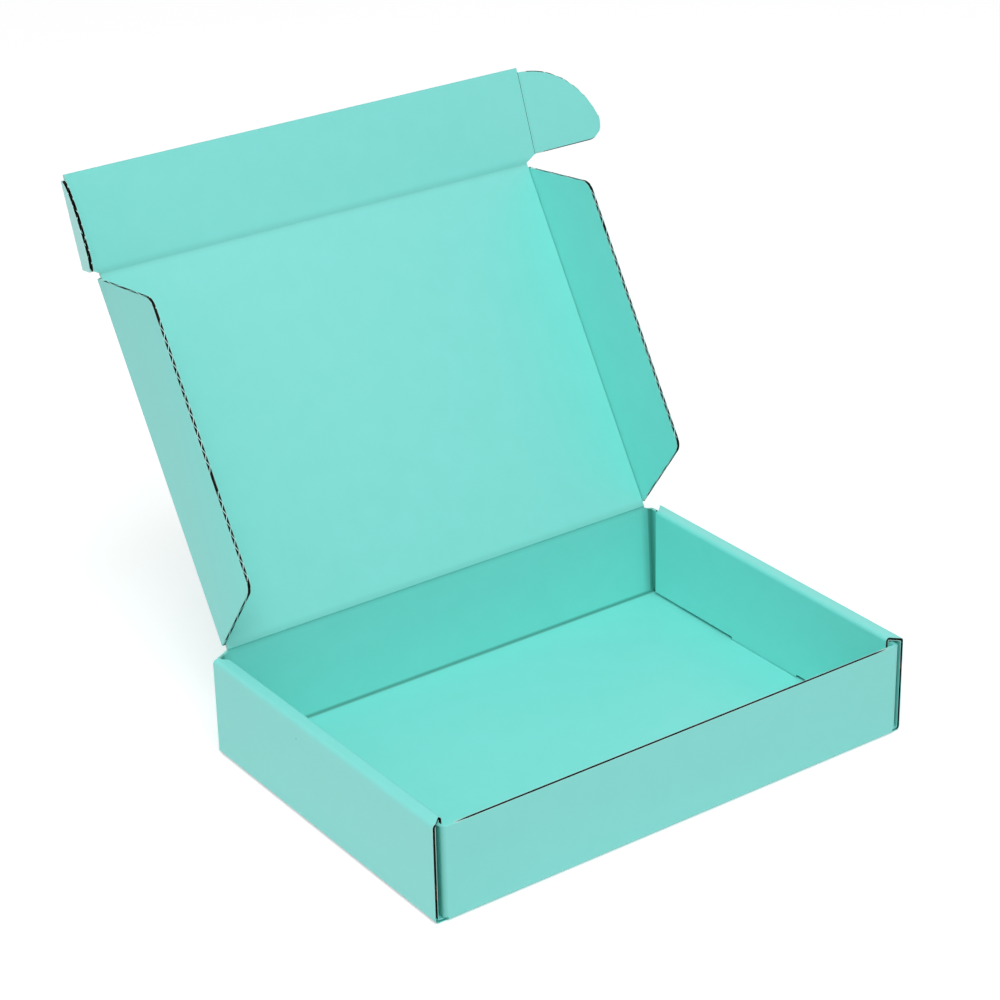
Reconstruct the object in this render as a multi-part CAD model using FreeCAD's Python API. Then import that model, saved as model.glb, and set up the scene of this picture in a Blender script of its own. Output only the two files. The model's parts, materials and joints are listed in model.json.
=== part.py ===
import FreeCAD, Part
import math
import os

# Corrugated mailer box, folded from one die-cut sheet, standing open.
# Origin: centre of the tray's underside.  +X right, +Y to the back, +Z up.  Millimetres.

# Board
board = 1.8
liner = 0.3
wave = 0.3
flute_pitch = 6.0
crushed_length = 5.0
slit_depth = 2.0
inside_bend = 0.4
crease_gap = 0.3
fold_clearance = 0.2

# Tray
tray_length = 275.0
tray_depth = 187.5
roll_height = 51.3
front_wall_drop = 2.5
side_wall_inset = 1.6
inner_wall_inset = 5.6
inner_wall_lift = 1.5
back_wall_lean = 3.0
ear_clearance = 0.2
corner_flap_length = 42.0
corner_flap_radius = 10.0

# Tab under each inner side wall
tab_width = 50.0
tab_corner = 2.0
slot_clearance = 0.4

# Lid
lid_rest_clearance = 0.2
tuck_clearance = 0.3
side_flap_clearance = 0.4
side_flap_width = 47.5
side_flap_back_slant = 20.5
side_flap_front_slant = 22.0
side_flap_back_start = 2.0
side_flap_front_start = 2.6
side_flap_radius = 7.0

# Tuck flap and its ears
tuck_depth = 49.5
ear_radius = 47.0
ear_tip_radius = 9.0
ear_top_clearance = 0.5

# How far each fold stands from flat
lid_open_angle = 121.6
side_flap_angle = 90.0
tuck_angle = 12.0
ear_right_angle = 0.0
ear_left_angle = 70.0

# How far a cutting body runs past the board, and a folded strip into the base
overcut = 5.0
base_lap = 20.0

# Worked out from the sizes above
core = board - 2 * liner
ear_slot = board + 2 * ear_clearance
roll_width = 3 * board + ear_slot + fold_clearance
bend = inside_bend + board / 2
corner_flap_face = board + ear_slot
panel_end = board / 2 + crease_gap
half_length = tray_length / 2
half_depth = tray_depth / 2
front = -half_depth
hinge_y = half_depth - board / 2 + back_wall_lean
hinge_z = roll_height + lid_rest_clearance + board / 2
side_flap_x = half_length - roll_width - side_flap_clearance - board / 2
lid_side = side_flap_x - panel_end
ear_x = half_length - board - ear_slot / 2
tuck_y = front - tuck_clearance - board / 2
ear_offset = lid_rest_clearance + 1.5 * board + ear_top_clearance
end_wall_side = half_length - corner_flap_face - bend - board / 2
back_wall_top = hinge_z - panel_end
back_wall_angle = math.degrees(math.atan2(back_wall_lean, back_wall_top - board / 2))
back_flap_top = roll_height - board - fold_clearance
front_wall_height = roll_height - front_wall_drop

vec = FreeCAD.Vector
X_AXIS = vec(1, 0, 0)
Y_AXIS = vec(0, 1, 0)
Z_AXIS = vec(0, 0, 1)


def side_view(a, b):
    """A point of a profile seen along X: a runs to the back, b up."""
    return vec(0, a, b)


def end_view(a, b):
    """A point of a profile seen along Y: a runs to the right, b up."""
    return vec(a, 0, b)


def plan_view(a, b):
    """A point of a profile seen from above."""
    return vec(a, b, 0)


def bend_points(before, corner, after, offset):
    """Start, middle and end of a line beside the middle of the board, round a bend."""
    into = vec(corner[0] - before[0], corner[1] - before[1], 0).normalize()
    out = vec(after[0] - corner[0], after[1] - corner[1], 0).normalize()
    turn = math.atan2(into.cross(out).z, into.dot(out))
    sign = math.copysign(1, turn)
    setback = bend * math.tan(abs(turn) / 2)
    point = vec(corner[0], corner[1], 0)
    left_in = vec(-into.y, into.x, 0)
    left_out = vec(-out.y, out.x, 0)
    centre = point - into * setback + left_in * (sign * bend)
    radius = bend - sign * offset
    start = point - into * setback + left_in * offset
    end = point + out * setback + left_out * offset
    middle = centre + (point - centre).normalize() * radius
    return start, middle, end


def line_beside(path, offset):
    """A line beside the middle of a folded path, as points and arcs."""
    steps = []
    for i in range(len(path)):
        if 0 < i < len(path) - 1:
            steps.append(bend_points(path[i - 1], path[i], path[i + 1], offset))
            continue
        a, b = (path[0], path[1]) if i == 0 else (path[-2], path[-1])
        along = vec(b[0] - a[0], b[1] - a[1], 0).normalize()
        left = vec(-along.y, along.x, 0)
        point = vec(path[i][0], path[i][1], 0) + left * offset
        steps.append((point,))
    return steps


def folded_face(path, view, thickness=board):
    """Section of the board that follows a path of straight runs with rounded folds."""
    left = line_beside(path, thickness / 2)
    right = [tuple(reversed(step)) for step in reversed(line_beside(path, -thickness / 2))]
    edges = []
    last = None
    for step in left + right + left[:1]:
        points = [view(p.x, p.y) for p in step]
        if last is not None and not last.isEqual(points[0], 1e-6):
            edges.append(Part.LineSegment(last, points[0]).toShape())
        if len(points) == 3:
            edges.append(Part.Arc(*points).toShape())
        last = points[-1]
    return Part.Face(Part.Wire(edges))


def moved(shape, x=0.0, y=0.0, z=0.0):
    copy = shape.copy()
    copy.translate(vec(x, y, z))
    return copy


def mirrored(shape):
    return shape.mirror(vec(0, 0, 0), X_AXIS)


def turned(shape, point, axis, degrees):
    copy = shape.copy()
    copy.rotate(point, axis, degrees)
    return copy


def box(x0, x1, y0, y1, z0, z1):
    return Part.makeBox(x1 - x0, y1 - y0, z1 - z0, vec(x0, y0, z0))


def rounded_outline(corners):
    """Closed outline through (x, y, radius) corners, with an arc at each radius."""
    edges = []
    last = None
    first = None
    count = len(corners)
    for i, (x, y, radius) in enumerate(corners):
        point = vec(x, y, 0)
        before = vec(corners[i - 1][0], corners[i - 1][1], 0)
        after = vec(corners[(i + 1) % count][0], corners[(i + 1) % count][1], 0)
        to_before = (before - point).normalize()
        to_after = (after - point).normalize()
        half = to_before.getAngle(to_after) / 2
        setback = radius / math.tan(half)
        start = point + to_before * setback
        end = point + to_after * setback
        if last is not None:
            edges.append(Part.LineSegment(last, start).toShape())
        if radius:
            middle_way = (to_before + to_after).normalize()
            centre = point + middle_way * (radius / math.sin(half))
            middle = centre - middle_way * radius
            edges.append(Part.Arc(start, middle, end).toShape())
        if first is None:
            first = start
        last = end
    edges.append(Part.LineSegment(last, first).toShape())
    return Part.Wire(edges)


def prism(wire, z0, z1):
    face = Part.Face(wire)
    return moved(face.extrude(vec(0, 0, z1 - z0)), z=z0)


def side_prism(corners, x0, x1):
    """Prism along X of an outline through (y, z, radius) corners."""
    plate = prism(rounded_outline(corners), 0, x1 - x0)
    plate = turned(plate, vec(0, 0, 0), X_AXIS, 90)
    plate = turned(plate, vec(0, 0, 0), Z_AXIS, 90)
    return moved(plate, x=x0)


def crease_rod(start, end):
    """Half-round edge of a panel, on the line that it folds about."""
    along = end - start
    return Part.makeCylinder(board / 2, along.Length, start, along)


def flutes(x0, x1, y0, y1):
    """Hollows between liners and wave, running along X, in a flat piece at the hinge's height."""
    reach = core / 2
    slope = 4 * reach / flute_pitch
    half = (core - wave / 2) / slope
    hollows = []
    for i in range(int((y1 - y0) / (flute_pitch / 2)) + 1):
        side = 1 if i % 2 else -1
        y = y0 + i * flute_pitch / 2
        base = hinge_z + side * reach
        tip = hinge_z - side * (reach - wave / 2)
        corners = [vec(x0, y - half, base), vec(x0, y, tip), vec(x0, y + half, base)]
        section = Part.Face(Part.makePolygon(corners + corners[:1]))
        hollows.append(section.extrude(vec(x1 - x0, 0, 0)))
    return Part.makeCompound(hollows)


def side_strip(thickness, inset):
    """Strip round the right wall, of one thickness, with its ends set in."""
    wall = half_length - board / 2
    inner = half_length - roll_width + board / 2
    top = roll_height - board / 2
    path = [
        (end_wall_side, board / 2),
        (wall, board / 2),
        (wall, top),
        (inner, top),
        (inner, board + inner_wall_lift),
    ]
    length = tray_depth - 2 * (side_wall_inset + inset)
    strip = folded_face(path, end_view, thickness).extrude(vec(0, length, 0))
    strip = moved(strip, y=front + side_wall_inset + inset)
    strip = strip.cut(moved(roll_end_cut(front), y=inset))
    return strip.cut(moved(roll_end_cut(half_depth), y=-inset))


def side_wall():
    """Outer wall, flat roll-over top and inner wall at the right, from one strip.
    Its ends are cut along the flutes, so a slit shows between the liners."""
    slits = side_strip(core, 0).cut(side_strip(board, slit_depth))
    return side_strip(board, 0).cut(slits)


def roll_end_cut(end):
    """What the slanted end of the roll-over and the shorter inner wall leave free."""
    inward = -math.copysign(1, end)
    outside = end - inward * overcut
    inside = half_length - roll_width - overcut
    corners = [
        (half_length - board, outside, 0),
        (half_length - board, end + inward * side_wall_inset, 0),
        (half_length - roll_width + board, end + inward * inner_wall_inset, 0),
        (inside, end + inward * inner_wall_inset, 0),
        (inside, outside, 0),
    ]
    return prism(rounded_outline(corners), board + inner_wall_lift / 2, roll_height + overcut)


def tab():
    """Tongue of the inner wall that stands in the base's slot."""
    outline = [
        (-tab_width / 2, board + 2 * inner_wall_lift, 0),
        (-tab_width / 2, fold_clearance, tab_corner),
        (tab_width / 2, fold_clearance, tab_corner),
        (tab_width / 2, board + 2 * inner_wall_lift, 0),
    ]
    return side_prism(outline, half_length - roll_width, half_length - roll_width + board)


def tab_slot():
    x0 = half_length - roll_width - slot_clearance
    x1 = half_length - roll_width + board + slot_clearance
    half = tab_width / 2 + slot_clearance
    return box(x0, x1, -half, half, -overcut, board + inner_wall_lift)


def wall_between_flaps(path):
    """Wall that stands on the base's fold, as wide as the base."""
    wall = folded_face(path, side_view).extrude(vec(2 * end_wall_side, 0, 0))
    return moved(wall, x=-end_wall_side)


def front_wall():
    """Front wall, with a slit between the liners of its cut top edge."""
    path = [
        (front + base_lap, board / 2),
        (front + board / 2, board / 2),
        (front + board / 2, front_wall_height),
    ]
    slit_end = end_wall_side - crushed_length
    slit_bottom = front_wall_height - slit_depth
    slit = box(-slit_end, slit_end, front + liner, front + liner + core, slit_bottom, roll_height)
    return wall_between_flaps(path).cut(slit)


def back_wall():
    """Leaning back wall, with shoulders from the lid's crease down to the corner flaps."""
    path = [
        (half_depth - base_lap, board / 2),
        (half_depth - board / 2, board / 2),
        (hinge_y, back_wall_top),
    ]
    run = end_wall_side - lid_side
    fall = back_wall_top - back_flap_top
    high = end_view(lid_side - run, back_wall_top + fall)
    low = end_view(end_wall_side + run, back_flap_top - fall)
    section = Part.Face(Part.makePolygon([high, low, end_view(low.x, high.z), high]))
    shoulder = moved(section.extrude(vec(0, 2 * base_lap, 0)), y=half_depth - base_lap)
    return wall_between_flaps(path).cut([shoulder, mirrored(shoulder)])


def corner_flap(end, fold_height, free_height):
    """Flap at the right that turns from the end wall into the hollow side wall."""
    inward = -math.copysign(1, end)
    wall_y = end + inward * board / 2
    flap_x = half_length - corner_flap_face - board / 2
    free = end + inward * corner_flap_length
    path = [(end_wall_side, wall_y), (flap_x, wall_y), (flap_x, free)]
    strip = folded_face(path, plan_view).extrude(vec(0, 0, fold_height + board))
    bottom = board + 2 * inside_bend
    outline = [
        (end, bottom, 0),
        (free, bottom, corner_flap_radius),
        (free, free_height, corner_flap_radius),
        (end, fold_height, 0),
    ]
    flap = strip.common(side_prism(outline, end_wall_side, half_length))
    slope = (free_height - fold_height) / corner_flap_length
    floor = []
    for way in (crushed_length, corner_flap_length - corner_flap_radius):
        floor.append((end + inward * way, fold_height + slope * way - slit_depth, 0))
    above = [(y, fold_height + board, 0) for y, z, radius in reversed(floor)]
    return flap.cut(side_prism(floor + above, flap_x - core / 2, flap_x + core / 2))


def base():
    """Bottom of the tray between the four folds."""
    side = half_depth - bend - board / 2
    return box(-end_wall_side, end_wall_side, -side, side, 0, board)


def back_corner_flap():
    """Corner flap that leans back with the back wall: its top is cut slanting, so that
    it comes level under the roll-over."""
    lean = math.radians(back_wall_angle)
    upright = board / 2 + (back_flap_top - board / 2) / math.cos(lean)
    fold_height = upright + board / 2 * math.tan(lean)
    free_height = fold_height - corner_flap_length * math.tan(lean)
    fold = vec(0, half_depth - board / 2, board / 2)
    return turned(corner_flap(half_depth, fold_height, free_height), fold, X_AXIS, -back_wall_angle)


def tray():
    """The tray's walls on its base, from one sheet."""
    front_flap = corner_flap(front, front_wall_height, front_wall_height)
    right = [side_wall(), front_flap, back_corner_flap()]
    pieces = [front_wall(), back_wall()] + right + [mirrored(piece) for piece in right]
    sheet = base().fuse(pieces).cut([tab_slot(), mirrored(tab_slot())])
    return sheet.fuse([tab(), mirrored(tab())]).removeSplitter()


def lid_panel():
    """Lid lying closed: half-round at the hinge, square at its other creases."""
    near = tuck_y + panel_end
    plate = box(-lid_side, lid_side, near, hinge_y, hinge_z - board / 2, hinge_z + board / 2)
    rod = crease_rod(vec(-lid_side, hinge_y, hinge_z), vec(lid_side, hinge_y, hinge_z))
    return plate.fuse(rod).removeSplitter()


def side_flap():
    """Right flap of the lid, flat, with slanted ends and rounded outer corners."""
    back = hinge_y - side_flap_back_start
    near = tuck_y + side_flap_front_start
    outer = side_flap_x + side_flap_width
    corners = [
        (side_flap_x, back, 0),
        (side_flap_x, near, 0),
        (outer, near + side_flap_front_slant, side_flap_radius),
        (outer, back - side_flap_back_slant, side_flap_radius),
    ]
    plate = prism(rounded_outline(corners), hinge_z - board / 2, hinge_z + board / 2)
    plate = plate.cut(flutes(side_flap_x + crushed_length, outer + board, near, back))
    rod = crease_rod(vec(side_flap_x, near, hinge_z), vec(side_flap_x, back, hinge_z))
    return plate.fuse(rod).removeSplitter()


def tuck_flap():
    """Front flap, flat ahead of the lid, with shoulders from the lid's width to the ears."""
    side = ear_x - panel_end
    end = tuck_y - tuck_depth
    corners = [
        (-side, end, 0),
        (side, end, 0),
        (side, tuck_y - ear_offset, 0),
        (lid_side, tuck_y, 0),
        (-lid_side, tuck_y, 0),
        (-side, tuck_y - ear_offset, 0),
    ]
    plate = prism(rounded_outline(corners), hinge_z - board / 2, hinge_z + board / 2)
    slit_end = side - crushed_length
    slit = box(-slit_end, slit_end, end - board, end + slit_depth, hinge_z - core / 2, hinge_z + core / 2)
    plate = plate.cut(slit)
    rod = crease_rod(vec(-lid_side, tuck_y, hinge_z), vec(lid_side, tuck_y, hinge_z))
    return plate.fuse(rod).removeSplitter()


def tuck_ear():
    """Right ear, flat: its rim is an arc about the lid's corner, so that it swings in."""
    corner = vec(ear_x, tuck_y, 0)
    tip_radius = ear_radius - ear_tip_radius
    tip_y = ear_offset + ear_tip_radius
    tip = corner + vec(math.sqrt(tip_radius ** 2 - tip_y ** 2), -tip_y, 0)
    to_tip = (tip - corner).normalize()
    halfway = (to_tip - Y_AXIS).normalize()
    tip_way = (to_tip + Y_AXIS).normalize()
    rim_start = corner - Y_AXIS * ear_radius
    rim_end = corner + to_tip * ear_radius
    top_outer = tip + Y_AXIS * ear_tip_radius
    top_inner = corner - Y_AXIS * ear_offset
    wire = Part.Wire([
        Part.Arc(rim_start, corner + halfway * ear_radius, rim_end).toShape(),
        Part.Arc(rim_end, tip + tip_way * ear_tip_radius, top_outer).toShape(),
        Part.LineSegment(top_outer, top_inner).toShape(),
        Part.LineSegment(top_inner, rim_start).toShape(),
    ])
    plate = prism(wire, hinge_z - board / 2, hinge_z + board / 2)
    plate = plate.cut(flutes(ear_x + crushed_length, ear_x + ear_radius, rim_start.y, top_inner.y))
    level = vec(0, 0, hinge_z)
    rod = crease_rod(rim_start + level, top_inner + level)
    return plate.fuse(rod).removeSplitter()


def fold_lid(shape):
    return turned(shape, vec(0, hinge_y, hinge_z), X_AXIS, -lid_open_angle)


def fold_tuck(shape):
    return fold_lid(turned(shape, vec(0, tuck_y, hinge_z), X_AXIS, tuck_angle))


def fold_side(shape, x, degrees):
    return turned(shape, vec(x, 0, hinge_z), Y_AXIS, degrees)


nodes = {
    "tray": tray(),
    "lid_panel": fold_lid(lid_panel()),
    "lid_side_flap_right": fold_lid(fold_side(side_flap(), side_flap_x, side_flap_angle)),
    "lid_side_flap_left": fold_lid(fold_side(mirrored(side_flap()), -side_flap_x, -side_flap_angle)),
    "tuck_flap": fold_tuck(tuck_flap()),
    "tuck_ear_right": fold_tuck(fold_side(tuck_ear(), ear_x, ear_right_angle)),
    "tuck_ear_left": fold_tuck(fold_side(mirrored(tuck_ear()), -ear_x, -ear_left_angle)),
}

os.makedirs("parts", exist_ok=True)
for name, shape in nodes.items():
    solid = shape.Solids[0] if len(shape.Solids) == 1 else shape
    solid.exportStep("parts/" + name + ".step")
    print(name, "solids", len(shape.Solids), "valid", shape.isValid(), "volume", round(shape.Volume, 1))
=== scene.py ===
import json
import math

import bmesh
import bpy
from mathutils import Matrix, Vector


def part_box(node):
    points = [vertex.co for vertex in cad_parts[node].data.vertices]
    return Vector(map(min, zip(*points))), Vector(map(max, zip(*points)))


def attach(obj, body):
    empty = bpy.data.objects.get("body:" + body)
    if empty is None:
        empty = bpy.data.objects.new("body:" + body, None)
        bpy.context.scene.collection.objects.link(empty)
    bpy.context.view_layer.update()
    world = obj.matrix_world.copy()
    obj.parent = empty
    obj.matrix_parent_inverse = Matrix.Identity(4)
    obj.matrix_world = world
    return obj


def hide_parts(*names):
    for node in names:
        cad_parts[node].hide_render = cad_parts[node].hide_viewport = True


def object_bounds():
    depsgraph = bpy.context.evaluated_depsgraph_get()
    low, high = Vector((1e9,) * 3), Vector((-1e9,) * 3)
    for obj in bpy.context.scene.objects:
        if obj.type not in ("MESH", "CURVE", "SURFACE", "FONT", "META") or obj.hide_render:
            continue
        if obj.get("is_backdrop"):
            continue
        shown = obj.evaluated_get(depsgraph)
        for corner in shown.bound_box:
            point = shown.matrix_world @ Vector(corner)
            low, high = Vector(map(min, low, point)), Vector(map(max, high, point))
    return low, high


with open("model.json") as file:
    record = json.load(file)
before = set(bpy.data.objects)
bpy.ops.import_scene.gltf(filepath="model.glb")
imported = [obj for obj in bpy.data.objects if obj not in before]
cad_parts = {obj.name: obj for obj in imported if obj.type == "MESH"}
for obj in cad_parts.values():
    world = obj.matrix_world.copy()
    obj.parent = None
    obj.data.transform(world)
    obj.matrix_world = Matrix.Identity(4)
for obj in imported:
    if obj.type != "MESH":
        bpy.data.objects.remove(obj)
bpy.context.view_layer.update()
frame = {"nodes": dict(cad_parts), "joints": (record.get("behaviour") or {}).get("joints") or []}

MM = 0.001
X, Y, Z = Vector((1, 0, 0)), Vector((0, 1, 0)), Vector((0, 0, 1))

# The board: two liners with a core between them, bent at its folds
board = 1.8 * MM
liner = 0.3 * MM
crease_gap = 0.3 * MM
inside_bend = 0.4 * MM
core = board - 2 * liner
panel_end = board / 2 + crease_gap
bend = inside_bend + board / 2
near_enough = 0.02 * MM

# Cleaning the CAD's triangles: corners this near are one, faces this level are one, and
# edges bent more than this stay sharp
same_corner = 0.002 * MM
same_face = math.radians(1)
sharp_edge = math.radians(25)

# Cut edges: what each liner loses in thickness where the flutes open, how far the right
# ear's inner liner is drawn back, the length crushed shut beside a corner, and the length
# over which the front wall's slit narrows beside it, and to which part of its width
liner_loss = 0.15 * MM
ear_rim_inset = 0.5 * MM
crushed_length = 5.0 * MM
slit_taper_length = 7 * MM
slit_taper = 10

# The tray: its box from the frame, and the middle of the board in each wall
tray_low, tray_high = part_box("tray")
half_depth = -tray_low.y
roll_height = 51.3 * MM
side_wall_inset = 1.6 * MM
inner_wall_inset = 5.6 * MM
inner_wall_depth = 6.9 * MM
corner_flap_depth = 4.9 * MM
outer_wall = tray_high.x - board / 2
inner_wall = tray_high.x - inner_wall_depth
corner_flap = tray_high.x - corner_flap_depth
roll_top = roll_height - board / 2
front_wall = tray_low.y + board / 2
end_wall_side = corner_flap - bend

# Half the lid's width, and how far each ear is folded at rest
lid_side = 127.2 * MM
ear_angles = {"right": 0.0, "left": math.radians(70)}

# Where the tray's parts are looked for: below the roll-over's top, and in from its ends
slit_zone = 5.5 * MM
top_zone = 3 * MM
recess_zone = 5 * MM
roll_end_zone = 3 * inner_wall_inset
back_wall_zone = 2.5 * board

# Shares of a unit normal, from which a face's direction is told
slightly = 0.1
edge_on = 0.3
mostly = 0.5
slanted = 0.6
squarely = 0.9
fully = 0.99

# Creases: how far the squeeze reaches, what share of the thickness it takes, and how
# dark the painted shade gets; and where along the reach the faces are cut
soft = {"reach": 3.5 * MM, "share": 0.1, "painted_shade": 0.2}
sharp = {"reach": 1.0 * MM, "share": 0.1, "painted_shade": 0.12}
press_steps = (0.25, 0.5, 0.75, 1.0)

# Inner folds: how far the painted shade reaches and how dark it gets, and the cuts
base_fold_shade = {"reach": 1.8 * MM, "painted_shade": 1.0}
corner_shade = {"reach": 5 * MM, "painted_shade": 0.35}
corner_shade_line = {"reach": 0.5 * MM, "painted_shade": 1.0}
recess_shade = {"reach": bend + board / 2, "painted_shade": 0.6}
tone_steps = (0.3, 0.65, 1.0)

# Strips in the creases: half their height and their painted shade, and the steps of their round
# side
lid_strip = {"half": 0.8 * MM, "painted_shade": 0.2}
flap_strip = {"half": 0.4 * MM, "painted_shade": 1.0}
strip_steps = 8

# Dark blocks of painted shade at the base's back corners, in from the bends and from the back
corner_lap = 0.3 * MM
corner_front = 2.4 * MM
corner_back = 0.9 * MM

# Heights between which the side walls' front edges are torn brown, left and right
torn = {-1: (12 * MM, 20 * MM), 1: (34 * MM, 37 * MM)}

# A small rub on the left wall, the cuts round it and how far it fades, in radii
speck_place = Vector((tray_low.x, 18.4 * MM, 42.3 * MM))
speck_radius = 0.35 * MM
speck_ink = 0.5
speck_cuts = (-1.6, -1, 1, 1.6)
speck_fade = 1.5

# The camera, found from the straight edges of the box in the photograph
camera_place = Vector((-0.709566, -0.957057, 0.708530))
camera_azimuth = math.radians(-35.2675)
camera_elevation = math.radians(25.8721)
camera_roll = math.radians(-1.2527)
camera_lens = 102.173
camera_reach = 20

# The studio: lamps, the world's brightness at eye level and overhead, and the floor
lamp_aim = (0, 0, 0.1)
lamp_size = 1.6
lamps = {"key": ((-0.8, -1.3, 2.6), 43), "left": ((-2.3, -0.8, 1.3), 5.3)}
world_level = 0.25
world_overhead = 0.61
floor_size = 4.0
floor_drop = 0.2 * MM
floor_lift = 0.45

joints = {joint["name"]: joint for joint in frame["joints"]}


def place(joint):
    """The point that a joint turns about."""
    return Vector(joints[joint]["pos_m"])


def axis(joint):
    """The direction of the line that a joint turns about."""
    return Vector(joints[joint]["axis"])


# Camera


def add_camera():
    """A camera at the photograph's place and angle."""
    camera = bpy.data.objects.new("camera", bpy.data.cameras.new("camera"))
    bpy.context.scene.collection.objects.link(camera)
    bpy.context.scene.camera = camera
    flat = math.cos(camera_elevation)
    back = Vector((
        math.sin(camera_azimuth) * flat,
        -math.cos(camera_azimuth) * flat,
        math.sin(camera_elevation),
    ))
    right = Z.cross(back).normalized()
    up = back.cross(right)
    turn = Matrix.Rotation(camera_roll, 3, back)
    axes = Matrix((turn @ right, turn @ up, back)).transposed()
    camera.matrix_world = Matrix.Translation(camera_place) @ axes.to_4x4()
    camera.data.lens = camera_lens
    camera.data.clip_end = camera_reach


# Colours and materials


def linear(code):
    """A colour from sRGB hex digits to linear light."""
    values = [int(code[i:i + 2], 16) / 255 for i in (1, 3, 5)]
    bent = [v / 12.92 if v <= 0.04045 else ((v + 0.055) / 1.055) ** 2.4 for v in values]
    return (*bent, 1.0)


def new_material(name):
    """An empty material with its shader, and the tree that the nodes go into."""
    material = bpy.data.materials.new(name)
    material.use_nodes = True
    tree = material.node_tree
    shader = tree.nodes["Principled BSDF"]
    return material, tree, shader


def node(tree, kind, settings=None, **links):
    """One node: settings go to its properties or sockets, links join its inputs."""
    made = tree.nodes.new(kind)
    for key, value in (settings or {}).items():
        if isinstance(key, str) and hasattr(made, key):
            setattr(made, key, value)
        else:
            made.inputs[key].default_value = value
    for key, source in links.items():
        socket = int(key[1:]) if key[0] == "i" and key[1:].isdigit() else key.replace("_", " ")
        tree.links.new(source, made.inputs[socket])
    return made


def speckle(tree, where, size_mm, detail=2.0):
    """Noise whose blobs are about the given size across."""
    settings = {"Scale": 1 / (size_mm * MM), "Detail": detail, "Roughness": 0.5}
    return node(tree, "ShaderNodeTexNoise", settings, Vector=where).outputs[0]


def printed_liner(name, pale, deep, shade_colour):
    """Matt coated paper liner, printed one flat colour: the print mottles slightly on the
    fibres, and the surface has a fine tooth that takes the shine off.  Where the attribute
    is set it darkens: painted shade in creases, folds and corners, and a small rub."""
    material, tree, shader = new_material(name)
    where = node(tree, "ShaderNodeTexCoord").outputs["Object"]
    mottle = speckle(tree, where, 14.0)
    fibre = speckle(tree, where, 0.9, 3.0)
    settings = {"operation": "MULTIPLY_ADD", 1: 0.35}
    blend = node(tree, "ShaderNodeMath", settings, i0=fibre, i2=mottle)
    settings = {"From Min": 0.45, "From Max": 0.95}
    factor = node(tree, "ShaderNodeMapRange", settings, i0=blend.outputs[0])
    colours = {"data_type": "RGBA", 6: linear(deep), 7: linear(pale)}
    colour = node(tree, "ShaderNodeMix", colours, i0=factor.outputs[0])
    # Painted shade: the attribute pulls the colour towards the dark shade colour in creases, folds
    # and corners; it also marks the small rub
    painted_shade_and_rub = node(tree, "ShaderNodeAttribute", {"attribute_name": "painted_shade_and_rub"}).outputs["Fac"]
    colours = {"data_type": "RGBA", 7: linear(shade_colour)}
    toned = node(tree, "ShaderNodeMix", colours, i0=painted_shade_and_rub, i6=colour.outputs[2])
    tree.links.new(toned.outputs[2], shader.inputs["Base Color"])
    rough = node(tree, "ShaderNodeMapRange", {"To Min": 0.56, "To Max": 0.64}, i0=mottle)
    tree.links.new(rough.outputs[0], shader.inputs["Roughness"])
    tooth = node(tree, "ShaderNodeBump", {"Strength": 0.12, "Distance": 0.04 * MM}, Height=fibre)
    tree.links.new(tooth.outputs[0], shader.inputs["Normal"])
    shader.inputs["IOR"].default_value = 1.6
    shader.inputs["Coat Weight"].default_value = 1.0
    shader.inputs["Coat Roughness"].default_value = 0.55
    shader.inputs["Coat IOR"].default_value = 1.75
    return material


def raw_paper(name, dark, brown, size_mm):
    """Unprinted recycled paper: fibrous, dull, mixed from dark and brown pulp."""
    material, tree, shader = new_material(name)
    where = node(tree, "ShaderNodeTexCoord").outputs["Object"]
    fibre = speckle(tree, where, size_mm, 4.0)
    factor = node(tree, "ShaderNodeMapRange", {"From Min": 0.4, "From Max": 0.75}, i0=fibre)
    colours = {"data_type": "RGBA", 6: linear(dark), 7: linear(brown)}
    colour = node(tree, "ShaderNodeMix", colours, i0=factor.outputs[0])
    tree.links.new(colour.outputs[2], shader.inputs["Base Color"])
    shader.inputs["Roughness"].default_value = 0.9
    shader.inputs["Specular IOR Level"].default_value = 0.1
    return material


# Printed faces, their cut edges, the inside of the flutes, and torn fibres at the cut ends
materials = (
    # Each liner's last colour is painted shade, for creases, folds and corners, and the small rub
    printed_liner("matt_coated_turquoise_liner", "#78E2DA", "#74E0D7", "#128C7C"),
    printed_liner("cut_edge_of_liner", "#B4E6DF", "#93D4CC", "#128C7C"),
    raw_paper("recycled_fluting_medium", "#12150F", "#3A3328", 1.6),
    raw_paper("torn_brown_fibres", "#4A2F22", "#8A6A55", 0.8),
)
LINER, CUT, CORE, TORN = range(len(materials))


# Board pieces


def finish_piece(name, shape, body):
    """Makes an object of a bmesh, at the origin, that moves with its body."""
    mesh = bpy.data.meshes.new(name)
    shape.to_mesh(mesh)
    shape.free()
    piece = bpy.data.objects.new(name, mesh)
    bpy.context.scene.collection.objects.link(piece)
    for material in materials:
        mesh.materials.append(material)
    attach(piece, body)
    return piece


def board_copy(name):
    """The CAD node's shape as clean faces, ready to be dressed."""
    shape = bmesh.new()
    shape.from_mesh(frame["nodes"][name].data)
    shape.verts.layers.float.new("painted_shade_and_rub")
    bmesh.ops.remove_doubles(shape, verts=shape.verts, dist=same_corner)
    bmesh.ops.dissolve_limit(
        shape, angle_limit=same_face, verts=shape.verts, edges=shape.edges
    )
    return shape


def finish_faces(shape, finish_of):
    """Gives each face its finish."""
    for face in shape.faces:
        face.smooth = True
        face.material_index = finish_of(face)


def dress(name, body, shape):
    """Replaces a CAD node by its shaped copy."""
    piece = finish_piece(name + "_board", shape, body)
    piece.data.set_sharp_from_angle(angle=sharp_edge)
    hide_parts(name)


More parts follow.
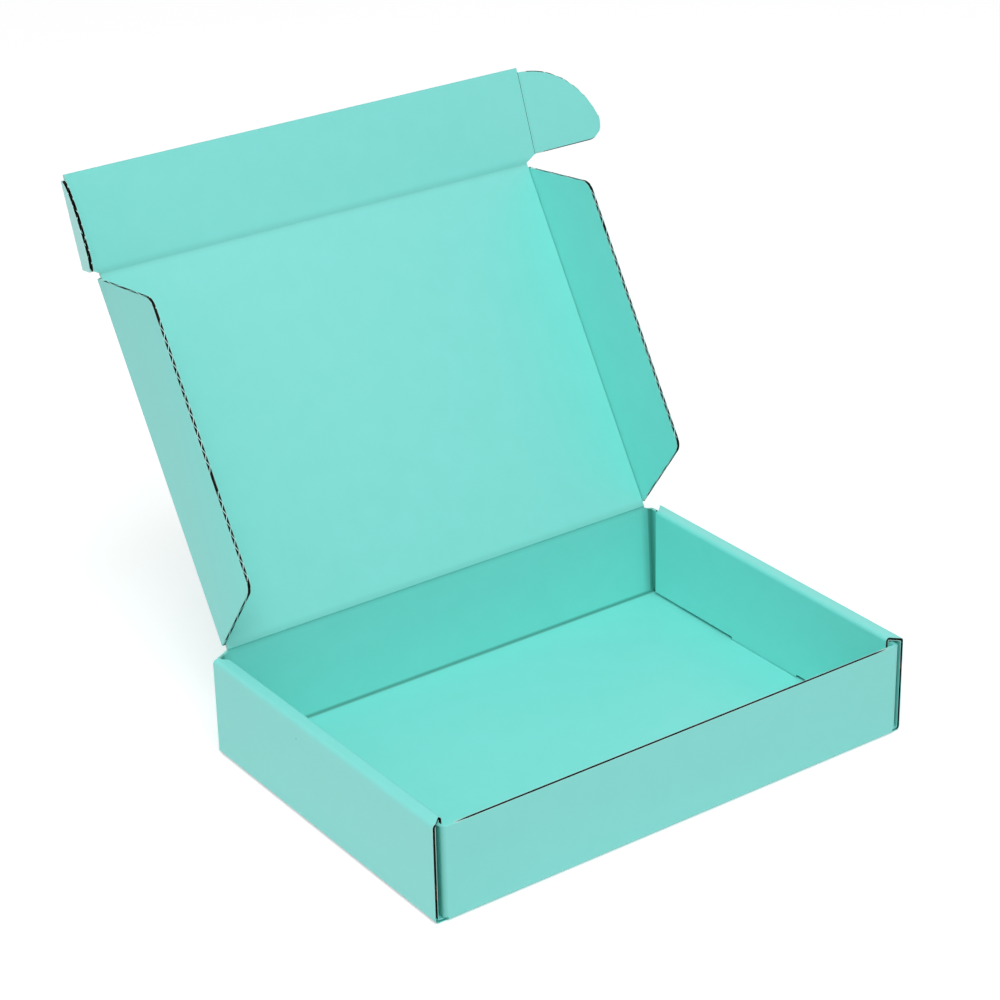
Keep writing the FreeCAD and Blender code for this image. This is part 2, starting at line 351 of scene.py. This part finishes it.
def slice_faces(shape, faces, at, normal):
    """Cuts these faces along a plane, and keeps both sides."""
    edges = {edge for face in faces for edge in face.edges}
    corners = {corner for face in faces for corner in face.verts}
    bmesh.ops.bisect_plane(
        shape, geom=list(faces) + list(edges) + list(corners), dist=near_enough / 4,
        plane_co=at, plane_no=normal,
    )


def depth_of(face, middle, normal):
    """How far a face reaches from the board's middle."""
    return max(abs((corner.co - middle).dot(normal)) for corner in face.verts)


def tone(shape, corner, value):
    """Notes how much painted shade, or darkening of the small rub, a corner of the mesh gets, from
    0 to 1.
    """
    layer = shape.verts.layers.float["painted_shade_and_rub"]
    corner[layer] = max(corner[layer], value)


def press(shape, faces_of, at, into, normal, reach, share, painted_shade):
    """Squeezes the board beside a crease, most at the crease and nothing at the reach, and paints
    shade there, darkest at the crease.
    """
    for step in press_steps:
        slice_faces(shape, faces_of(shape), at + into * reach * step, into)
    for corner in {corner for face in faces_of(shape) for corner in face.verts}:
        across = abs((corner.co - at).dot(into))
        height = (corner.co - at).dot(normal)
        if across < reach and abs(height) < board / 2 + near_enough:
            dip = (1 + math.cos(math.pi * across / reach)) / 2
            corner.co -= normal * height * dip * share
            tone(shape, corner, painted_shade * dip)


def paint_fold_shade(shape, faces_of, at, ways, reach, painted_shade):
    """Paints shade on the inner side of a fold, darkest at the fold."""
    for way in ways:
        for step in tone_steps:
            slice_faces(shape, faces_of(shape), at + way * reach * step, way)
    for corner in {corner for face in faces_of(shape) for corner in face.verts}:
        across = max((corner.co - at).dot(way) for way in ways)
        if across < reach:
            tone(shape, corner, painted_shade * min(1, 1 - across / reach))


def every_face(shape):
    """All faces of a shape."""
    return list(shape.faces)


def faces_where(shape, wanted):
    """The faces of a shape that a test picks, from the face and its centre."""
    return [face for face in shape.faces if wanted(face, face.calc_center_median())]


def rim_faces(shape, at, into, normal):
    """The faces of a flat piece's cut edge, away from its fold."""
    def wanted(face, centre):
        edgewise = abs(face.normal.dot(normal)) < edge_on
        away = (centre - at).dot(into) > 2 * board
        return edgewise and away and depth_of(face, at, normal) > core / 2 + near_enough
    return faces_where(shape, wanted)


def open_flutes(shape, at, into, normal):
    """Thins the liners at the cut edge, where the flutes open."""
    rim = rim_faces(shape, at, into, normal)
    for corner in {corner for face in rim for corner in face.verts}:
        height = (corner.co - at).dot(normal)
        if abs(abs(height) - core / 2) < near_enough:
            corner.co += normal * math.copysign(liner_loss, height)


def crush_rim(shape, at, into, normal, inset):
    """Draws the liner on the normal's side back from the cut edge, so the flutes show."""
    out = {}
    for face in rim_faces(shape, at, into, normal):
        for corner in face.verts:
            if (corner.co - at).dot(normal) > core / 2 - near_enough:
                out[corner] = out.get(corner, Vector()) + face.normal
    for corner, way in out.items():
        corner.co -= way.normalized() * inset


def flat_finish(at, normal):
    """Finish of a face of a flat piece, from how far it reaches from the board's middle."""
    def finish_of(face):
        if depth_of(face, at, normal) < core / 2 + near_enough:
            return CORE
        return CUT if abs(face.normal.dot(normal)) < edge_on else LINER
    return finish_of


def fold_span(name, at, along):
    """Where a node's round edge starts and ends along its fold."""
    found = []
    for corner in frame["nodes"][name].data.vertices:
        way = (corner.co - at).dot(along)
        if (corner.co - at - along * way).length < board / 2 + near_enough:
            found.append(way)
    return min(found), max(found)


def fill_crease(name, body, at, along, into, normal, span, half, painted_shade):
    """The squeezed board between a panel's end and the round edge that turns beside it,
    painted with crease shade. It moves with the panel, and the round edge is the same at every
    angle."""
    reach = board / 2 + near_enough
    section = [(panel_end + near_enough, -half), (panel_end + near_enough, half)]
    for i in range(strip_steps + 1):
        height = half - 2 * half * i / strip_steps
        section.append((math.sqrt(reach ** 2 - height ** 2), height))
    shape = bmesh.new()
    tone_layer = shape.verts.layers.float.new("painted_shade_and_rub")
    rings = []
    for end in span:
        ring = [shape.verts.new(at + along * end + into * d + normal * h) for d, h in section]
        rings.append(ring)
    count = len(section)
    for i in range(count):
        j = (i + 1) % count
        shape.faces.new((rings[0][i], rings[0][j], rings[1][j], rings[1][i]))
    shape.faces.new(reversed(rings[0]))
    shape.faces.new(rings[1])
    bmesh.ops.recalc_face_normals(shape, faces=shape.faces)
    for corner in shape.verts:
        corner[tone_layer] = painted_shade
    finish_piece(name, shape, body)


def fill_corner(name, low, high):
    """A block in the corner between three folds, painted fully in crease shade: a dark piece
    standing in for the shade there.
    """
    shape = bmesh.new()
    tone_layer = shape.verts.layers.float.new("painted_shade_and_rub")
    bmesh.ops.create_cube(shape, size=1.0)
    for corner in shape.verts:
        corner.co = Vector([low[i] + (high[i] - low[i]) * (corner.co[i] + 0.5) for i in range(3)])
        corner[tone_layer] = 1.0
    bmesh.ops.recalc_face_normals(shape, faces=shape.faces)
    finish_piece(name, shape, "tray")


# The tray


def beside_roll(point):
    """Distance of a point from the middle of the board in a rolled side wall."""
    across = abs(point.x)
    side = outer_wall if across > (outer_wall + inner_wall) / 2 else inner_wall
    inward = 1 if side == outer_wall else -1
    from_side = (across - side) * inward
    from_top = point.z - roll_top
    if from_side > -bend and from_top > -bend:
        return abs(math.hypot(from_side + bend, from_top + bend) - bend)
    return min(abs(from_side), abs(from_top))


def tray_finish(face):
    """Finish of a face of the tray: the slits in its cut edges, the edges, or the liners."""
    centre = face.calc_center_median()
    corners = [corner.co for corner in face.verts]
    top = min(p.z for p in corners) > roll_height - slit_zone
    ends = [half_depth - abs(p.y) for p in corners]
    at_end = min(ends) > side_wall_inset - near_enough and max(ends) < roll_end_zone
    if at_end and abs(centre.x) > inner_wall - board:
        far = max(beside_roll(p) for p in corners)
        low, high = torn[math.copysign(1, centre.x)]
        if far < core / 2 + near_enough:
            return TORN if centre.y < 0 and low < centre.z < high else CORE
        if abs(face.normal.y) > slanted and far < board / 2 + near_enough:
            return CUT
    if top and max(abs(p.y - front_wall) for p in corners) < core / 2 + near_enough:
        return CORE
    if top and max(abs(abs(p.x) - corner_flap) for p in corners) < core / 2 + near_enough:
        return CORE
    if top and face.normal.z > squarely and centre.z < roll_height - board:
        corner_x = abs(centre.x) > end_wall_side - crushed_length
        corner_y = abs(centre.y) > half_depth - crushed_length
        return LINER if corner_x and corner_y else CUT
    return LINER


def top_faces(shape):
    """The tray's faces that look straight up, near its rim."""
    def wanted(face, centre):
        return face.normal.z > squarely and centre.z > roll_height - top_zone
    return faces_where(shape, wanted)


def front_edge_faces(shape, side):
    """The cut edge at the front of one outer side wall."""
    def wanted(face, centre):
        return centre.x * side > outer_wall - board and centre.y < -half_depth + roll_end_zone
    return faces_where(shape, wanted)


def inner_fold_faces(shape):
    """The top of the base and the inner side of the back wall."""
    def wanted(face, centre):
        on_base = face.normal.z > mostly and abs(centre.z - board) < liner
        on_wall = face.normal.y < -mostly and centre.y > half_depth - 3 * board
        return abs(centre.x) < end_wall_side and (on_base or on_wall)
    return faces_where(shape, wanted)


def inner_corner_faces(shape):
    """The inner side of the back wall and of the bends into its corner flaps."""
    def wanted(face, centre):
        behind = centre.y > half_depth - back_wall_zone and centre.z > board
        sideways = face.normal.x * centre.x < -slightly * abs(centre.x)
        return behind and (face.normal.y < -slightly or sideways) and abs(centre.x) < corner_flap
    return faces_where(shape, wanted)


def front_rim_faces(shape):
    """The faces of the front wall's top and of the slit in it."""
    def wanted(face, centre):
        at_wall = max(abs(corner.co.y - front_wall) for corner in face.verts) < board
        return at_wall and min(corner.co.z for corner in face.verts) > roll_height - slit_zone
    return faces_where(shape, wanted)


def taper_slit(shape, side):
    """Narrows the front wall's slit towards one end, where the board is crushed."""
    end = side * (end_wall_side - crushed_length)
    slice_faces(shape, front_rim_faces(shape), X * (end - side * slit_taper_length), X)
    for corner in shape.verts:
        across = corner.co.y - front_wall
        high = corner.co.z > roll_height - slit_zone
        if high and abs(corner.co.x - end) < near_enough and abs(across) < core / 2 + near_enough:
            corner.co.y = front_wall + across / slit_taper


def left_wall_face(shape):
    """The faces of the left side wall's outer side."""
    def wanted(face, centre):
        return face.normal.x < -fully and abs(centre.x - tray_low.x) < near_enough
    return faces_where(shape, wanted)


def add_speck(shape):
    """A small dark rub on the left wall."""
    for way in (Y, Z):
        for step in speck_cuts:
            slice_faces(shape, left_wall_face(shape), speck_place + way * speck_radius * step, way)
    for corner in {corner for face in left_wall_face(shape) for corner in face.verts}:
        if (corner.co - speck_place).length < speck_fade * speck_radius:
            tone(shape, corner, speck_ink)


def recess_faces(shape):
    """The outer side of the front wall's bends, behind the side walls' cut edges."""
    def wanted(face, centre):
        between = end_wall_side < abs(centre.x) < outer_wall - board / 2 - near_enough
        outward = face.normal.x * centre.x > 0 and centre.y < 0
        return between and outward and board < centre.z < roll_height - recess_zone
    return faces_where(shape, wanted)


def back_wall_faces(shape):
    """The back wall's two large faces and its top, between the corner flaps."""
    def wanted(face, centre):
        inside = abs(centre.x) < end_wall_side and centre.y > half_depth - back_wall_zone
        return inside and centre.z > roll_height / 3
    return faces_where(shape, wanted)


# The lid's fold, the way down along the leaning back wall, and the way out of its face
hinge = place("lid_hinge")
wall_down = Vector((0, half_depth - board / 2, board / 2)) - hinge
wall_down.normalize()
wall_out = X.cross(wall_down).normalized()

shape = board_copy("tray")
for side in (-1, 1):
    slice_faces(shape, top_faces(shape), X * side * (end_wall_side - crushed_length), X)
    slice_faces(shape, top_faces(shape), Y * side * (half_depth - crushed_length), Y)
for side, marks in torn.items():
    for height in marks:
        slice_faces(shape, front_edge_faces(shape, side), Z * height, Z)
for side in (-1, 1):
    taper_slit(shape, side)
finish_faces(shape, tray_finish)
add_speck(shape)
# The crease at the lid's hinge is pressed and painted with shade; the base's fold, the corners
# where the back wall meets the inner walls and the recesses behind the side walls' cut edges get
# painted shade
press(shape, back_wall_faces, hinge, wall_down, wall_out, **soft)
fold = Vector((0, half_depth - board, board))
paint_fold_shade(shape, inner_fold_faces, fold, (-Y, Z), **base_fold_shade)
for side in (-1, 1):
    corner = X * side * (inner_wall - board / 2)
    paint_fold_shade(shape, inner_corner_faces, corner, (-X * side,), **corner_shade)
    paint_fold_shade(shape, inner_corner_faces, corner, (-X * side,), **corner_shade_line)
    corner = X * side * (corner_flap + board / 2)
    paint_fold_shade(shape, recess_faces, corner, (-X * side,), **recess_shade)
dress("tray", "tray", shape)

# Dark blocks of painted shade in the base's back corners
for name, side in (("corner_shade_block_right", 1), ("corner_shade_block_left", -1)):
    left, right = sorted((side * (end_wall_side - corner_lap), side * (corner_flap + board)))
    low = (left, half_depth - corner_front, board / 4)
    high = (right, half_depth - corner_back, 2 * board)
    fill_corner(name, low, high)

# The lid, the tuck flap and the flaps beside them: the ways up along them, and out of
# their inner faces

lid_up = axis("side_flap_right_fold")
lid_normal = lid_up.cross(X).normalized()
tuck_up = axis("ear_right_fold")
tuck_normal = tuck_up.cross(X).normalized()
if lid_normal.y > 0:
    lid_normal, tuck_normal = -lid_normal, -tuck_normal
tuck_fold = place("tuck_flap_fold")

shape = board_copy("lid_panel")
finish_faces(shape, flat_finish(hinge, lid_normal))
press(shape, every_face, hinge, lid_up, lid_normal, **soft)
press(shape, every_face, tuck_fold, -lid_up, lid_normal, **soft)
dress("lid_panel", "lid", shape)

shape = board_copy("tuck_flap")
finish_faces(shape, flat_finish(tuck_fold, tuck_normal))
press(shape, every_face, tuck_fold, tuck_up, tuck_normal, **soft)
dress("tuck_flap", "tuck", shape)

for side in ("right", "left"):
    at = place("side_flap_" + side + "_fold")
    shape = board_copy("lid_side_flap_" + side)
    finish_faces(shape, flat_finish(at, X))
    open_flutes(shape, at, lid_normal, X)
    press(shape, every_face, at, lid_normal, X, **sharp)
    dress("lid_side_flap_" + side, "side_flap_" + side, shape)

for side, angle in ear_angles.items():
    fold = "ear_" + side + "_fold"
    turn = Matrix.Rotation(-angle, 3, axis(fold))
    at, into, normal = place(fold), turn @ (X if side == "right" else -X), turn @ tuck_normal
    shape = board_copy("tuck_ear_" + side)
    finish_faces(shape, flat_finish(at, normal))
    open_flutes(shape, at, into, normal)
    if side == "right":
        crush_rim(shape, at, into, normal, ear_rim_inset)
    press(shape, every_face, at, into, normal, **sharp)
    dress("tuck_ear_" + side, "ear_" + side, shape)

# The creases between them are filled with strips painted in crease shade
# The creases between them

span = (-lid_side, lid_side)
fill_crease("crease_lid_back", "tray", hinge, X, wall_down, wall_out, span, **lid_strip)
fill_crease("crease_lid_tuck", "lid", tuck_fold, X, -lid_up, lid_normal, span, **lid_strip)
for side, into in (("right", -X), ("left", X)):
    at = place("side_flap_" + side + "_fold")
    span = fold_span("lid_side_flap_" + side, at, lid_up)
    fill_crease("crease_flap_" + side, "lid", at, lid_up, into, lid_normal, span, **flap_strip)
    at = place("ear_" + side + "_fold")
    span = fold_span("tuck_ear_" + side, at, tuck_up)
    fill_crease("crease_ear_" + side, "tuck", at, tuck_up, into, tuck_normal, span, **flap_strip)


# Light, floor and background


def add_area_light(name, place_at, power):
    """A soft square lamp, turned to the box."""
    lamp = bpy.data.lights.new(name, "AREA")
    lamp.shape = "SQUARE"
    lamp.size = lamp_size
    lamp.energy = power
    holder = bpy.data.objects.new(name, lamp)
    bpy.context.scene.collection.objects.link(holder)
    holder.location = place_at
    direction = Vector(lamp_aim) - Vector(place_at)
    holder.rotation_euler = direction.to_track_quat("-Z", "Y").to_euler()


def white_to_camera(tree):
    """1 for rays straight from the camera or through gloss and glass, else 0."""
    path = node(tree, "ShaderNodeLightPath")
    seen = node(tree, "ShaderNodeMath", {"operation": "MAXIMUM"},
                i0=path.outputs["Is Camera Ray"], i1=path.outputs["Is Glossy Ray"])
    both = node(tree, "ShaderNodeMath", {"operation": "MAXIMUM"},
                i0=seen.outputs[0], i1=path.outputs["Is Transmission Ray"])
    return both.outputs[0]


def add_world():
    """Studio light, brighter overhead, and a white background past the floor."""
    world = bpy.data.worlds.new("studio")
    bpy.context.scene.world = world
    world.use_nodes = True
    tree = world.node_tree
    background = tree.nodes["Background"]
    way = node(tree, "ShaderNodeTexCoord").outputs["Generated"]
    height = node(tree, "ShaderNodeSeparateXYZ", Vector=way).outputs["Z"]
    settings = {"From Min": 0.2, "From Max": 0.9, "To Min": world_level, "To Max": world_overhead}
    light = node(tree, "ShaderNodeMapRange", settings, i0=height).outputs[0]
    seen = white_to_camera(tree)
    shown = node(tree, "ShaderNodeMapRange", {"To Max": 1.0}, i0=seen, To_Min=light)
    tree.links.new(shown.outputs[0], background.inputs["Strength"])
    background.inputs["Color"].default_value = (1, 1, 1, 1)


def add_floor():
    """White floor that keeps the soft shadow under the box."""
    shape = bmesh.new()
    bmesh.ops.create_grid(shape, x_segments=1, y_segments=1, size=floor_size)
    mesh = bpy.data.meshes.new("floor")
    shape.to_mesh(mesh)
    shape.free()
    floor = bpy.data.objects.new("floor", mesh)
    floor.location.z = -floor_drop
    bpy.context.scene.collection.objects.link(floor)
    floor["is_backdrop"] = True
    material, tree, shader = new_material("white_studio_floor")
    shader.inputs["Base Color"].default_value = linear("#E6E6E6")
    shader.inputs["Roughness"].default_value = 1.0
    shader.inputs["Specular IOR Level"].default_value = 0.0
    shader.inputs["Emission Color"].default_value = (1, 1, 1, 1)
    settings = {"operation": "MULTIPLY", 1: floor_lift}
    lift = node(tree, "ShaderNodeMath", settings, i0=white_to_camera(tree))
    tree.links.new(lift.outputs[0], shader.inputs["Emission Strength"])
    mesh.materials.append(material)


add_camera()
add_world()
for name, (place_at, power) in lamps.items():
    add_area_light(name, place_at, power)
add_floor()

scene = bpy.context.scene
scene.view_settings.view_transform = "Standard"

low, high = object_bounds()
